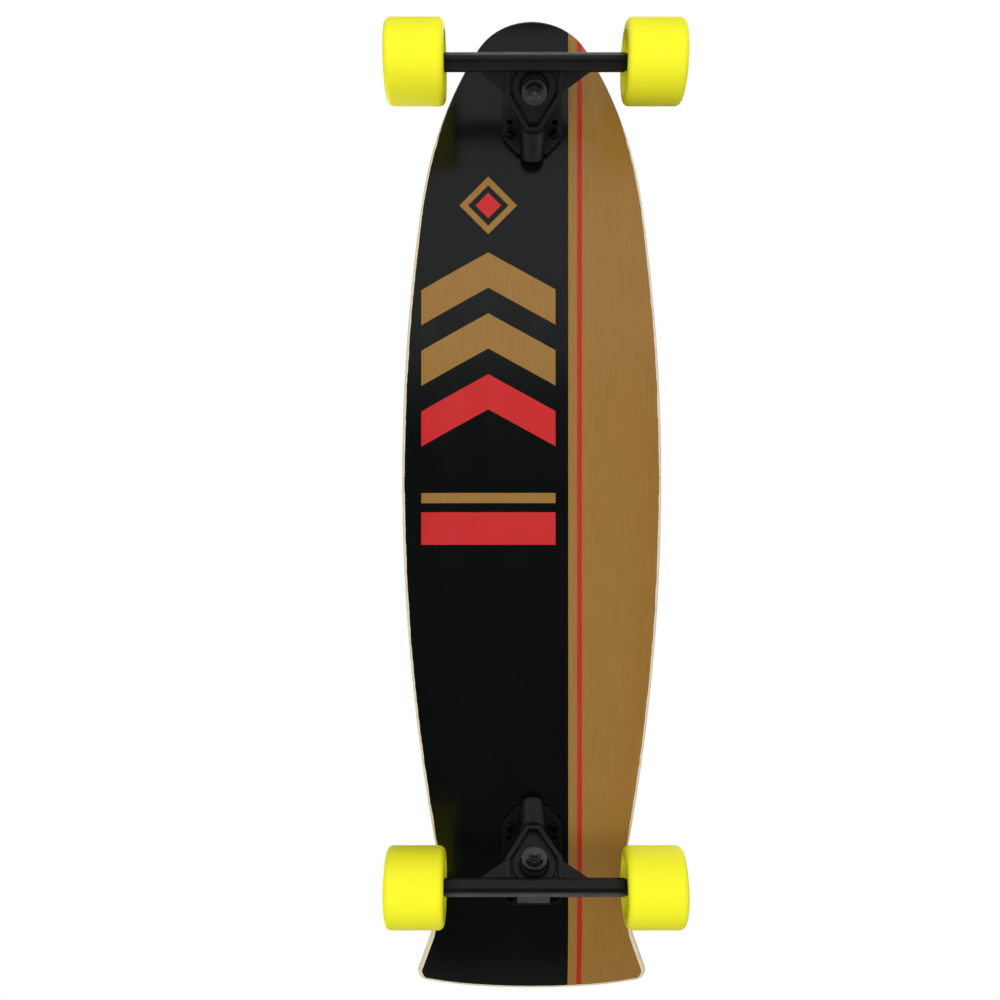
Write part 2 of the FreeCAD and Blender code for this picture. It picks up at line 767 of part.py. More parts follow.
def make_baseplate(side):
    body = new_body(f"{side}_baseplate")
    plate = new_sketch(body, "XY_Plane", "plate")
    rounded_box(plate, 0, 0, S.base_length, S.base_width, S.base_corner_radius)
    pad(body, plate, S.base_thickness, reverse=True)
    shoulders = new_sketch(body, "XY_Plane", "shoulders")
    polygon(shoulders, two_sided([(-S.shoulder_start, S.base_width / 2), (-S.shoulder_end, S.shoulder_end_half)]))
    pad(body, shoulders, S.base_thickness, reverse=True)
    tower = new_sketch(body, "XZ_Plane", "tower")
    polygon(tower, [
        (-S.tower_toe_back, -S.base_thickness / 2),
        in_truck(-S.tower_seat_half, TOWER_SEAT),
        in_truck(S.tower_seat_half, TOWER_SEAT),
        in_truck(S.tower_crown_ahead, TOWER_SEAT + S.tower_crown_rise),
        (S.tower_toe_front, -S.base_thickness / 2),
    ])
    pad(body, tower, S.tower_half_width * 2, symmetric=True)
    pedestal = new_sketch(body, "XZ_Plane", "pedestal")
    mouth, end = in_truck(-HOUSING_MOUTH, ZERO), in_truck(-HOUSING_END, ZERO)
    polygon(pedestal, [
        (-S.base_length / 4, 0), (-S.base_length / 4, -S.base_thickness), mouth, end, (end[0], 0),
    ])
    pad(body, pedestal, HOUSING_RADIUS * 2, symmetric=True)
    steered_turn(body, "housing", HOUSING_RADIUS, HOUSING_MOUTH, HOUSING_END, "Revolution")
    steered_turn(body, "cup_seat", HOUSING_BORE, HOUSING_MOUTH, CUP_END + S.cup_seat_gap, "Groove")
    socket = new_sketch(body, "XZ_Plane", "kingpin_socket")
    bore = S.kingpin_radius + S.kingpin_gap
    top = KINGPIN_TOP + S.kingpin_gap
    axis_line(socket, in_truck(ZERO, ZERO), in_truck(ZERO, top))
    polygon(socket, [in_truck(ZERO, ZERO), in_truck(bore, ZERO), in_truck(bore, top), in_truck(ZERO, top)])
    turn(body, socket, "Axis0", "Groove")
    holes = new_sketch(body, "XY_Plane", "holes")
    for x in (BOLT_X, -BOLT_X, S.spare_hole_shift - BOLT_X):
        for y in (BOLT_Y, -BOLT_Y):
            circle(holes, x, y, S.bolt_radius + S.bolt_hole_gap)
    pocket(body, holes, S.base_thickness)
    above = new_sketch(body, "XY_Plane", "above_deck")
    polygon(above, [
        (S.base_length, S.base_width), (-S.base_length, S.base_width),
        (-S.base_length, -S.base_width), (S.base_length, -S.base_width),
    ])
    pocket(body, above, S.base_width, reverse=True)
    place_level(body, side)
    return body


def make_hanger(side):
    body = new_body(f"{side}_hanger")
    nose = [(-S.gusset_root_behind, S.gusset_root_half), (-S.nose_tip_behind, S.nose_tip_half)]
    web = new_sketch(body, "XY_Plane", "web")
    polygon(web, two_sided([(S.axle_ahead, S.gusset_half_span)] + nose))
    plate = pad(body, web, S.web_thickness, symmetric=True)

    def upright_at(behind):
        def chosen(edge):
            return is_along(edge, V(0, 0, 1)) and abs(edge.CenterOfMass.x + behind.value) < 0.01
        return chosen

    round_edges(body, plate, S.gusset_root_round, upright_at(S.gusset_root_behind))
    shield = new_sketch(body, "XY_Plane", "shield", -WEB_HALF)
    polygon(shield, two_sided([(S.axle_ahead, S.gusset_root_half)] + nose))
    rim = pad(body, shield, S.shield_rise, reverse=True)
    round_edges(body, rim, S.nose_tip_round, upright_at(S.nose_tip_behind))
    slope = (S.gusset_root_half - S.nose_tip_half) / (S.nose_tip_behind - S.gusset_root_behind)
    inset = S.shield_rim * root(slope * slope + 1)
    wide = S.gusset_root_half - S.shield_rim
    narrow = S.nose_tip_half + slope * S.shield_rim - inset
    knee = (wide - S.nose_tip_half + inset) / slope - S.nose_tip_behind
    bowl = new_sketch(body, "XY_Plane", "bowl", -WEB_HALF - S.shield_rise)
    polygon(bowl, two_sided([
        (S.axle_ahead - S.beam_width / 2, wide), (knee, wide), (S.shield_rim - S.nose_tip_behind, narrow),
    ]))
    pocket(body, bowl, S.shield_rise, reverse=True)
    ring = new_sketch(body, "XY_Plane", "ring")
    circle(ring, 0, 0, S.ring_radius)
    pad(body, ring, S.ring_height, symmetric=True)
    beam = new_sketch(body, "XZ_Plane", "beam")
    rounded_box(beam, S.axle_ahead, -S.axle_below, S.beam_width, S.beam_width, S.beam_corner_radius)
    pad(body, beam, S.beam_square_length, symmetric=True)
    ends = new_sketch(body, "XZ_Plane", "beam_ends")
    circle(ends, S.axle_ahead, -S.axle_below, S.beam_end_radius)
    pad(body, ends, HANGER_HALF * 2, symmetric=True)
    pivot = new_sketch(body, "XZ_Plane", "pivot")
    root_x = S.housing_gap - S.nose_tip_behind
    tip_x = -S.pivot_tip_behind
    polygon(pivot, [
        (root_x, 0), (root_x, S.pivot_radius), (tip_x + S.pivot_tip_chamfer, S.pivot_radius),
        (tip_x, S.pivot_radius - S.pivot_tip_chamfer), (tip_x, 0),
    ])
    turn(body, pivot, "H_Axis")
    for name, level, upward in (("road_seat", -WEB_HALF, False), ("board_seat", WEB_HALF, True)):
        seat = new_sketch(body, "XY_Plane", name, level)
        circle(seat, 0, 0, SEAT_RADIUS)
        pocket(body, seat, S.beam_width * 2, reverse=upward)
    bore = new_sketch(body, "XY_Plane", "ring_bore")
    circle(bore, 0, 0, S.ring_bore_radius)
    pocket(body, bore)
    axle_bore = new_sketch(body, "XZ_Plane", "axle_bore")
    circle(axle_bore, S.axle_ahead, -S.axle_below, AXLE_BORE)
    pocket(body, axle_bore)
    place_steered(body, side)
    return body


def make_steering(side):
    # The pieces threaded on the kingpin, the pivot's liner and the axle
    pin_radius, end, cut = S.kingpin_radius, KINGPIN_END, S.kingpin_end_chamfer
    kingpin = turned(f"{side}_kingpin", "XZ_Plane", "V_Axis", [
        (0, end), (pin_radius - cut, end), (pin_radius, end + cut), (pin_radius, KINGPIN_TOP), (0, KINGPIN_TOP),
    ])
    nut = lock_nut(
        f"{side}_kingpin_nut", "XY_Plane", KINGPIN_NUT_TOP, S.kingpin_nut_flats, S.kingpin_nut_height,
        S.kingpin_nut_collar_radius, S.kingpin_nut_collar_height, pin_radius + S.kingpin_gap,
    )
    hole = pin_radius + S.bushing_bore_gap
    waist = S.bushing_radius - S.bushing_waist
    board_bushing = turned(f"{side}_board_bushing", "XZ_Plane", "V_Axis", [
        (hole, WEB_HALF), (S.bushing_radius, WEB_HALF), (waist, WEB_HALF + S.board_bushing_height / 2),
        (S.bushing_radius, BOARD_WASHER_BASE), (hole, BOARD_WASHER_BASE),
    ])
    road_bushing = turned(f"{side}_road_bushing", "XZ_Plane", "V_Axis", [
        (hole, -WEB_HALF), (S.bushing_radius, -WEB_HALF),
        (S.road_bushing_end_radius, ROAD_WASHER_TOP), (hole, ROAD_WASHER_TOP),
    ])
    fit = pin_radius + S.kingpin_gap
    board_washer = turned(f"{side}_board_washer", "XZ_Plane", "V_Axis", [
        (fit, BOARD_WASHER_BASE), (S.board_washer_radius, BOARD_WASHER_BASE),
        (S.board_washer_radius, TOWER_SEAT), (fit, TOWER_SEAT),
    ])
    lip = S.road_bushing_end_radius + S.bushing_seat_gap
    road_washer = turned(f"{side}_road_washer", "XZ_Plane", "V_Axis", [
        (fit, KINGPIN_NUT_TOP), (S.road_washer_radius, KINGPIN_NUT_TOP),
        (S.road_washer_radius, ROAD_WASHER_TOP + S.road_washer_lip), (lip, ROAD_WASHER_TOP + S.road_washer_lip),
        (lip, ROAD_WASHER_TOP), (fit, ROAD_WASHER_TOP),
    ])
    cup = turned(f"{side}_pivot_cup", "XZ_Plane", "H_Axis", [
        (-HOUSING_MOUTH, CUP_BORE), (-HOUSING_MOUTH, CUP_RADIUS), (-CUP_END, CUP_RADIUS), (-CUP_END, 0),
        (-CUP_FLOOR, 0), (-CUP_FLOOR, CUP_BORE),
    ])
    pieces = [kingpin, nut, board_bushing, road_bushing, board_washer, road_washer, cup]
    for piece in pieces:
        place_steered(piece, side)
    truck_x, yaw, ahead = TRUCKS[side]
    radius, cut = S.axle_radius, S.axle_end_chamfer
    axle = turned(f"{side}_axle", "XY_Plane", "V_Axis", [
        (0, -AXLE_HALF), (radius - cut, -AXLE_HALF), (radius, cut - AXLE_HALF),
        (radius, AXLE_HALF - cut), (radius - cut, AXLE_HALF), (0, AXLE_HALF),
    ])
    place(axle, truck_x + AXLE_OUT * ahead, 0, S.wheel_radius)
    return pieces + [axle]


# Wheels: turned about Y, which points away from the board

def ring_points(inner, outer, start, end):
    return [(inner, start), (outer, start), (outer, end), (inner, end)]


def ring_pair(label, profile):
    # Two rings of one profile, on the outer side of the wheel and mirrored on the inner side
    body = new_body(label)
    sketch = new_sketch(body, "XY_Plane", "profiles")
    polygon(sketch, profile)
    polygon(sketch, [(x, -dim(y)) for x, y in profile])
    turn(body, sketch, "V_Axis")
    return body


def make_wheel(end, hand):
    name = f"{end}_{hand}"
    half = S.wheel_width / 2
    bond = S.core_radius + S.core_bond_gap
    tyre = turned(f"{name}_tyre", "XY_Plane", "V_Axis", [
        (bond, -CORE_HALF), (S.wheel_dish_floor_radius, -CORE_HALF), (S.wheel_dish_radius, -half),
        (S.wheel_radius, -half), (S.wheel_radius, half), (S.wheel_dish_radius, half),
        (S.wheel_dish_floor_radius, CORE_HALF), (bond, CORE_HALF),
    ])

    def at_lip(edge):
        return abs(edge.BoundBox.XLength - 2 * S.wheel_radius.value) < 0.1 and edge.BoundBox.YLength < 0.1

    round_edges(tyre, tyre.Tip, S.wheel_lip_round, at_lip)
    seat = S.bearing_radius + S.bearing_seat_gap
    stop = S.spacer_length / 2
    core = turned(f"{name}_core", "XY_Plane", "V_Axis", [
        (S.core_stop_radius, -stop), (seat, -stop), (seat, -CORE_HALF), (S.core_radius, -CORE_HALF),
        (S.core_radius, CORE_HALF), (seat, CORE_HALF), (seat, stop), (S.core_stop_radius, stop),
    ])
    inner_race = AXLE_BORE + S.bearing_inner_wall
    race = S.bearing_radius - S.bearing_outer_wall
    shield = inner_race + S.shield_gap
    outer_rings = ring_pair(f"{name}_bearing_outer_rings", [
        (S.bearing_radius, stop), (S.bearing_radius, BEARING_END), (shield, BEARING_END),
        (shield, BEARING_END - S.shield_thickness), (race, BEARING_END - S.shield_thickness), (race, stop),
    ])
    inner_rings = ring_pair(f"{name}_bearing_inner_rings", ring_points(AXLE_BORE, inner_race, stop, BEARING_END))
    washers = ring_pair(
        f"{name}_speed_washers",
        ring_points(AXLE_BORE, AXLE_BORE + S.speed_washer_wall, BEARING_END, WASHER_END),
    )
    spacer = turned(
        f"{name}_spacer", "XY_Plane", "V_Axis", ring_points(AXLE_BORE, AXLE_BORE + S.spacer_wall, -stop, stop)
    )
    nut = lock_nut(
        f"{name}_axle_nut", "XZ_Plane", -WASHER_END, S.axle_nut_flats, S.axle_nut_height,
        S.axle_nut_collar_radius, S.axle_nut_collar_height, AXLE_BORE,
    )
    truck_x, yaw, ahead = TRUCKS[end]
    out = 1 if hand == "left" else -1
    pieces = [tyre, core, outer_rings, inner_rings, washers, spacer, nut]
    for piece in pieces:
        place(
            piece, truck_x + AXLE_OUT * ahead, S.wheel_track_half * out, S.wheel_radius,
            0 if hand == "left" else 180,
        )
    return pieces


NODES = [make_deck(), make_grip()]
for side in TRUCKS:
    NODES += [make_bolts(side), make_deck_nuts(side), make_baseplate(side), make_hanger(side)]
    NODES += make_steering(side)
    for hand in ("left", "right"):
        NODES += make_wheel(side, hand)
doc.recompute()

# Every piece is checked before any file is written
faults = [item.Name for item in doc.Objects if {"Invalid", "Error"} & set(item.State)]
for body in NODES:
    if body.Shape.isNull() or not body.Shape.isValid():
        faults.append(body.Label)
if faults:
    raise RuntimeError("Failed: " + ", ".join(faults))

os.makedirs("parts", exist_ok=True)
for body in NODES:
    body.Shape.exportStep(f"parts/{body.Label}.step")
    print(body.Label, len(body.Shape.Solids), round(body.Shape.Volume, 1), body.Shape.BoundBox)
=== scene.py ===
import math

import bmesh
import bpy
from mathutils import Matrix, Vector


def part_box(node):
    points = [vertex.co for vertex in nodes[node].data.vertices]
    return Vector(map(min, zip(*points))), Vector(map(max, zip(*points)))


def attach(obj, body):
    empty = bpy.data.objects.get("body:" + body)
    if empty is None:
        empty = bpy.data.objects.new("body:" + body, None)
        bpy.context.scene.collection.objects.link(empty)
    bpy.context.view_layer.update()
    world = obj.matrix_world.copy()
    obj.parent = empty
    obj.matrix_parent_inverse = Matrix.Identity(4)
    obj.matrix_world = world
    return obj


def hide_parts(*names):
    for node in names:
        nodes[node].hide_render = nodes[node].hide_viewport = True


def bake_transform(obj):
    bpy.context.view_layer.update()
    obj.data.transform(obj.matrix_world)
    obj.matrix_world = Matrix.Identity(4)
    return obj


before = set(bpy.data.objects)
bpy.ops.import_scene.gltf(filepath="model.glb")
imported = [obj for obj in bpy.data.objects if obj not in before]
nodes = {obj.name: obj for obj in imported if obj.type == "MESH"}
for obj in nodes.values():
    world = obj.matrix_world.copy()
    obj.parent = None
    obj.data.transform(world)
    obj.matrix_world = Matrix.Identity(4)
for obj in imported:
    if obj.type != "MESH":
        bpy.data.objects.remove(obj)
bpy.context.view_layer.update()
scene = bpy.context.scene
scene.view_settings.view_transform = "Standard"

ENDS = ("front", "rear")
HANDS = ("left", "right")
WHEELS = [f"{end}_{hand}" for end in ENDS for hand in HANDS]


# Deck as it is pressed and cut: plies, bends from its edges inwards, flared tail with round corners

DECK_LOW, DECK_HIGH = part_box("deck")
DECK_THICK = 0.011
PLIES = 7
GLUE_SHARE = 0.1
FLAT_FACING = 0.6
RAIL_REACH, RAIL_RISE = 0.0675, 0.006
TAIL_REACH, TAIL_RISE = 0.082, 0.013
NOSE_REACH, NOSE_RISE = 0.037, 0.0035
RAIL_START = DECK_HIGH.y - RAIL_REACH
TAIL_START = DECK_LOW.x + TAIL_REACH
NOSE_START = DECK_HIGH.x - NOSE_REACH
FLARE_ANGLE = math.radians(19.4)
TAIL_END_RADIUS = 0.68
TAIL_HALF_WIDTH = 0.108
CORNER_RADIUS = 0.01
CORNER_Y = TAIL_HALF_WIDTH - CORNER_RADIUS
CORNER_X = DECK_LOW.x + TAIL_END_RADIUS - math.sqrt((TAIL_END_RADIUS - CORNER_RADIUS) ** 2 - CORNER_Y ** 2)
FLARE_RIM = CORNER_Y + CORNER_X * math.tan(FLARE_ANGLE) + CORNER_RADIUS / math.cos(FLARE_ANGLE)


# Deck bolts: their pattern, the deck's countersinks and the flats on the heads

BOLT_PATTERN = (0.0635, 0.0413)
COUNTERSINK_RADIUS = 0.006
HEAD_FLAT_DEPTH = 0.0002


# Print on the underside: tan side with a stripe, and a panel with two bars, chevrons and a diamond

TAN_EDGE = 0.034
STRIPE = (0.0422, 0.0469)
PANEL = (-0.104, 0.022)
PANEL_MIDDLE = sum(PANEL) / 2
TAN_BAR = (0.0031, 0.0126)
RED_BAR = (-0.036, -0.0054)
CHEVRON_START = 0.091
CHEVRON_STEP = 0.057
CHEVRON_WIDTH = 0.033
CHEVRON_SLOPE = 0.55
DIAMOND_X = 0.282
DIAMOND_FRAME = (0.019, 0.027)
DIAMOND_HEART = 0.012
WORN_FACING = (-0.945, -0.915)
NOSE_WRAP = (0.34, 0.41)
NOSE_WRAP_FACING = 0.55
FLARE_MARGIN = 0.0045
FLARE_MARGIN_GROWTH = 0.03
CORNER_MARGINS = (0.001, 0.004)
CORNER_MARGIN_GROWTH = 0.0056


# Marks on the grip tape: a four-point star in a ring, and a row of small diamonds behind it

STAR_X = 0.085
STAR_REACH = 0.04
STAR_POWER = 0.6
RING = (0.0415, 0.0435)
ROW_X = 0.018
ROW_STEP = 0.02
ROW_EACH_SIDE = 2
ROW_DIAMOND = 0.008
SCUFF = (-0.37, -0.45)


# Threaded bars: sizes from the foot and from the tip, a kingpin's foot being its road end

THREAD_DEPTH_PER_PITCH = 0.6
RINGS_PER_PITCH = 6
BAR_SEGMENTS = 48
KINGPIN_BAR = {"radius": 0.00475, "chamfers": (0.001, 0.0), "threads": (0.012, 0.0), "pitch": 0.00106}
AXLE_BAR = {"radius": 0.004, "chamfers": (0.0008, 0.0008), "threads": (0.0085, 0.0085), "pitch": 0.00105}


# Bearings and tyres: shields between the rings, ground tread

SHIELD = (0.0066, 0.0093)
TREAD_DEPTH = 0.0004


# Bushings: bore, rounded rims, and sizes along the kingpin from the middle of the board washer

BUSHING_BORE = 0.0051
BUSHING_RIM = 0.0012
BUSHING_SEGMENTS = 64
RIM_STEPS = 4
SIDE_STEPS = 8
BUSHINGS = {
    "board": {"start": -0.016, "height": 0.015, "base": 0.0123, "waist": 0.0008, "top": 0.0123},
    "road": {"start": -0.037, "height": 0.013, "base": 0.0098, "waist": 0.0, "top": 0.0123},
}


# Stage: floor that fades out, levels of the surround, camera under the board with its lens shifted

FLOOR_REACH = 20.0
FLOOR_FADE = (0.7, 2.2)
AMBIENT = 0.3
GROUND_FADE = (-0.75, -0.05)
GROUND_LEVEL = 0.05
CAMERA_DROP = 0.95
CAMERA_X, CAMERA_Y = -0.044, -0.03
PICTURE_X = 0.006
SENSOR = 36
LENS = 36.5


# Colours are written as they show on screen, 0 to 255

def paint(red, green, blue):
    def linear(level):
        share = level / 255
        return share / 12.92 if share <= 0.04045 else ((share + 0.055) / 1.055) ** 2.4
    return (linear(red), linear(green), linear(blue), 1.0)


def middle(node):
    low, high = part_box(node)
    return (low + high) / 2


class Graph:
    """A tree of shader nodes, with short calls to add to it."""

    def __init__(self, tree):
        self.tree = tree

    def node(self, kind):
        return self.tree.nodes.new("ShaderNode" + kind)

    def plug(self, socket, value):
        if isinstance(value, bpy.types.NodeSocket):
            self.tree.links.new(value, socket)
        else:
            socket.default_value = value

    def feed(self, node, *values):
        for socket, value in zip(node.inputs, values):
            self.plug(socket, value)
        return node.outputs

    def split(self, vector):
        return self.feed(self.node("SeparateXYZ"), vector)

    def math(self, operation, first, second=0.0):
        node = self.node("Math")
        node.operation = operation
        return self.feed(node, first, second)[0]

    def above(self, value, limit):
        return self.math("GREATER_THAN", value, limit)

    def below(self, value, limit):
        return self.math("LESS_THAN", value, limit)

    def both(self, first, second):
        return self.math("MULTIPLY", first, second)

    def either(self, first, second):
        return self.math("MAXIMUM", first, second)

    def band(self, value, low, high):
        return self.both(self.above(value, low), self.below(value, high))

    def absolute(self, value):
        return self.math("ABSOLUTE", value)

    def away(self, value, centre):
        return self.absolute(self.math("SUBTRACT", value, centre))

    def total(self, first, second, power):
        return self.math("ADD", self.math("POWER", first, power), self.math("POWER", second, power))

    def distance(self, first, second):
        return self.math("SQRT", self.total(first, second, 2.0))

    def spread(self, value, low, high, to_low=0.0, to_high=1.0):
        return self.feed(self.node("MapRange"), value, low, high, to_low, to_high)[0]

    def mix(self, share, first, second):
        node = self.node("Mix")
        node.data_type = "RGBA"
        self.plug(node.inputs[0], share)
        self.plug(node.inputs[6], first)
        self.plug(node.inputs[7], second)
        return node.outputs[2]

    def join(self, share, first, second):
        return self.feed(self.node("MixShader"), share, first, second)[0]


class Look(Graph):
    """One material, with short calls for what its finish is made of."""

    def __init__(self, name, **constants):
        self.material = bpy.data.materials.new(name)
        self.material.use_nodes = True
        super().__init__(self.material.node_tree)
        self.shader = self.tree.nodes["Principled BSDF"]
        for socket, value in constants.items():
            self.give(socket.replace("_", " "), value)
        self.place = self.node("TexCoord").outputs["Object"]
        self.x, self.y, self.z = self.split(self.place)

    def give(self, socket, value):
        self.plug(self.shader.inputs[socket], value)

    def noise(self, scale, detail=2.0, stretch=(1.0, 1.0, 1.0)):
        mapping = self.node("Mapping")
        self.plug(mapping.inputs["Vector"], self.place)
        self.plug(mapping.inputs["Scale"], stretch)
        node = self.node("TexNoise")
        self.plug(node.inputs["Vector"], mapping.outputs[0])
        self.plug(node.inputs["Scale"], scale)
        self.plug(node.inputs["Detail"], detail)
        return node.outputs[0]

    def uneven(self, pattern, low, high):
        # A level that follows the middle of a noise's range
        return self.spread(pattern, 0.3, 0.7, low, high)

    def facing(self):
        return self.split(self.node("NewGeometry").outputs["Normal"])[2]

    def bump(self, height, depth, edge=0.0):
        node = self.node("Bump")
        self.plug(node.inputs["Distance"], depth)
        self.plug(node.inputs["Height"], height)
        if edge:
            soft = self.node("Bevel")
            soft.samples = 4
            self.plug(soft.inputs["Radius"], edge)
            self.plug(node.inputs["Normal"], soft.outputs[0])
        self.give("Normal", node.outputs[0])

    def from_axle(self, end):
        # Distance from the middle line of one axle
        centre = middle(f"{end}_axle")
        return self.distance(self.away(self.x, centre.x), self.away(self.z, centre.z))


# Deck: seven maple plies, a lacquered print below

def bend(look, distance, reach, rise):
    # Height of the pressed sheet past the start of a bend
    radius = (reach ** 2 + rise ** 2) / (2 * rise)
    over = look.math("MAXIMUM", distance, 0.0)
    side = look.math("SQRT", look.math("SUBTRACT", radius ** 2, look.math("POWER", over, 2.0)))
    return look.math("SUBTRACT", radius, side)


def countersinks(look, end):
    # Where the deck is sunk for the heads of one truck's bolts
    centre = middle(f"{end}_deck_bolts")
    long_away = look.away(look.away(look.x, centre.x), BOLT_PATTERN[0] / 2)
    wide_away = look.away(look.absolute(look.y), BOLT_PATTERN[1] / 2)
    return look.below(look.distance(long_away, wide_away), COUNTERSINK_RADIUS)


def maple(look, grain):
    # Plies on the edge, counted from the bent underside, one pale veneer on the faces, and painted shade near
    # black in the bolts' countersinks
    height = look.math("SUBTRACT", look.z, DECK_LOW.z)
    for lift in (
        bend(look, look.math("SUBTRACT", look.absolute(look.y), RAIL_START), RAIL_REACH, RAIL_RISE),
        bend(look, look.math("SUBTRACT", TAIL_START, look.x), TAIL_REACH, TAIL_RISE),
        bend(look, look.math("SUBTRACT", look.x, NOSE_START), NOSE_REACH, NOSE_RISE),
    ):
        height = look.math("SUBTRACT", height, lift)
    layer = look.math("DIVIDE", height, DECK_THICK / PLIES)
    crossed = look.above(look.math("FRACT", look.math("DIVIDE", layer, 2.0)), 0.5)
    glue = look.below(look.math("FRACT", layer), GLUE_SHARE)
    flat = look.above(look.absolute(look.facing()), FLAT_FACING)
    long_ply = look.mix(grain, paint(240, 229, 202), paint(224, 206, 168))
    cross_ply = look.mix(grain, paint(222, 201, 162), paint(203, 176, 132))
    veneer = look.mix(grain, paint(240, 231, 208), paint(228, 213, 180))
    edge = look.mix(glue, look.mix(crossed, long_ply, cross_ply), paint(168, 136, 92))
    wood = look.mix(flat, edge, veneer)
    for end in ENDS:
        # Painted shade: the countersinks round the bolt heads near black
        wood = look.mix(countersinks(look, end), wood, paint(14, 14, 13))
    return wood


def underside_ink(look, grain):
    x, y = look.x, look.y
    mottle = look.noise(14, 3)
    black = look.mix(mottle, paint(5, 9, 7), paint(11, 15, 13))
    tan = look.mix(grain, paint(158, 118, 58), paint(144, 104, 46))
    red = look.mix(mottle, paint(204, 40, 42), paint(188, 34, 36))
    stripe_red = look.mix(mottle, paint(182, 50, 28), paint(166, 44, 24))
    ink = look.mix(look.above(y, TAN_EDGE), black, tan)
    ink = look.mix(look.band(y, *STRIPE), ink, stripe_red)

    panel = look.band(y, *PANEL)
    aside = look.away(y, PANEL_MIDDLE)
    for bar, colour in ((TAN_BAR, tan), (RED_BAR, red)):
        ink = look.mix(look.both(panel, look.band(x, *bar)), ink, colour)
    along = look.math("ADD", x, look.math("MULTIPLY", aside, CHEVRON_SLOPE))
    for step, colour in enumerate((red, tan, tan)):
        low = CHEVRON_START + step * CHEVRON_STEP
        ink = look.mix(look.both(panel, look.band(along, low, low + CHEVRON_WIDTH)), ink, colour)
    span = look.math("ADD", look.away(x, DIAMOND_X), aside)
    ink = look.mix(look.band(span, *DIAMOND_FRAME), ink, tan)
    return look.mix(look.below(span, DIAMOND_HEART), ink, red)


def printed_part(look):
    # Worn off the rounded edge, except round the nose, and short of the rim of the flared tail
    x, side = look.x, look.absolute(look.y)
    worn = look.uneven(look.noise(90, 4), *WORN_FACING)
    worn = look.math("ADD", worn, look.spread(x, *NOSE_WRAP, 0.0, NOSE_WRAP_FACING))
    printed = look.below(look.facing(), worn)

    flare = look.math("ADD", side, look.math("MULTIPLY", x, math.tan(FLARE_ANGLE)))
    margin_end = TAIL_START - FLARE_MARGIN_GROWTH
    limit = look.spread(x, TAIL_START, margin_end, FLARE_RIM, FLARE_RIM - FLARE_MARGIN)
    strip = look.both(look.band(x, CORNER_X, TAIL_START), look.above(flare, limit))

    limits = [CORNER_RADIUS - margin for margin in CORNER_MARGINS]
    limit = look.spread(side, CORNER_Y, CORNER_Y + CORNER_MARGIN_GROWTH, *limits)
    turned = look.above(look.distance(look.away(x, CORNER_X), look.away(side, CORNER_Y)), limit)
    corner = look.both(look.below(x, CORNER_X), look.above(side, CORNER_Y))
    bare = look.either(strip, look.both(turned, corner))
    return look.both(printed, look.math("SUBTRACT", 1.0, bare))


def deck_look():
    look = Look("lacquered_maple", Specular_IOR_Level=0.25)
    grain = look.noise(60, 6, stretch=(0.4, 8.0, 8.0))
    printed = printed_part(look)
    look.give("Base Color", look.mix(printed, maple(look, grain), underside_ink(look, grain)))
    haze = look.spread(look.noise(35, 5, stretch=(0.3, 1.0, 1.0)), 0.35, 0.75, 0.16, 0.26)
    look.give("Roughness", look.mix(printed, look.spread(grain, 0.2, 0.8, 0.4, 0.6), haze))
    look.bump(look.mix(printed, grain, look.noise(160, 2)), depth=0.00004)
    return look.material


# Grip tape: black grit with dull red marks, greyer on the tail where it is scuffed

def grip_marks(look):
    x_away, y_away = look.away(look.x, STAR_X), look.absolute(look.y)
    star = look.below(look.total(x_away, y_away, STAR_POWER), STAR_REACH ** STAR_POWER)
    marks = look.either(star, look.band(look.distance(x_away, y_away), *RING))
    for step in range(-ROW_EACH_SIDE, ROW_EACH_SIDE + 1):
        span = look.math("ADD", look.away(look.x, ROW_X), look.away(look.y, step * ROW_STEP))
        marks = look.either(marks, look.below(span, ROW_DIAMOND))
    return marks


def grip_look():
    look = Look("grip_tape", Specular_IOR_Level=0.02)
    grit = look.noise(1500, 3)
    patches = look.noise(22, 4)
    base = look.mix(look.spread(grit, 0.42, 0.72), paint(2, 3, 3), paint(13, 15, 14))
    base = look.mix(look.spread(patches, 0.35, 0.75, 0.0, 0.35), base, paint(9, 11, 10))
    scuffed = look.both(look.spread(look.x, *SCUFF), look.spread(patches, 0.35, 0.7, 0.1, 0.6))
    base = look.mix(scuffed, base, paint(48, 50, 51))
    faded = look.both(grip_marks(look), look.spread(look.noise(420, 4), 0.3, 0.6, 0.4, 0.9))
    look.give("Base Color", look.mix(faded, base, paint(148, 66, 56)))
    look.give("Roughness", look.uneven(grit, 0.95, 0.6))
    look.bump(grit, depth=0.0004)
    return look.material


# Metal: satin castings, brushed steel, deck bolts, shielded bearings

def cast_look():
    look = Look("satin_black_casting", Specular_IOR_Level=0.28)
    look.give("Base Color", look.mix(look.noise(45, 3), paint(8, 9, 9), paint(15, 16, 16)))
    look.give("Roughness", look.uneven(look.noise(70, 4), 0.32, 0.5))
    look.bump(look.noise(420, 5), depth=0.00012, edge=0.0012)
    return look.material


def steel_look(name, light, dark, roughness, edge=0.0005):
    look = Look(name, Metallic=1.0)
    brushed = look.noise(500, 3, stretch=(1.0, 0.2, 1.0))
    look.give("Base Color", look.mix(brushed, light, dark))
    look.give("Roughness", look.uneven(look.noise(260, 4), *roughness))
    look.bump(brushed, depth=0.00003, edge=edge)
    return look.material


def bolt_look():
    # Bare flats on the heads, and below them near black: painted shade in the cross recesses, running on down
    # the shanks
    look = Look("black_zinc_bolt_and_recess_shade", Metallic=1.0)
    brushed = look.noise(500, 3)
    flats = look.above(look.z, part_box("front_deck_bolts")[1].z - HEAD_FLAT_DEPTH)
    bare = look.mix(brushed, paint(72, 73, 74), paint(40, 41, 42))
    # Painted shade: near black below the flats, for the cross recesses
    black = look.mix(brushed, paint(22, 23, 23), paint(34, 35, 35))
    look.give("Base Color", look.mix(flats, black, bare))
    look.give("Roughness", look.uneven(look.noise(260, 4), 0.32, 0.48))
    look.bump(brushed, depth=0.00003, edge=0.0004)
    return look.material


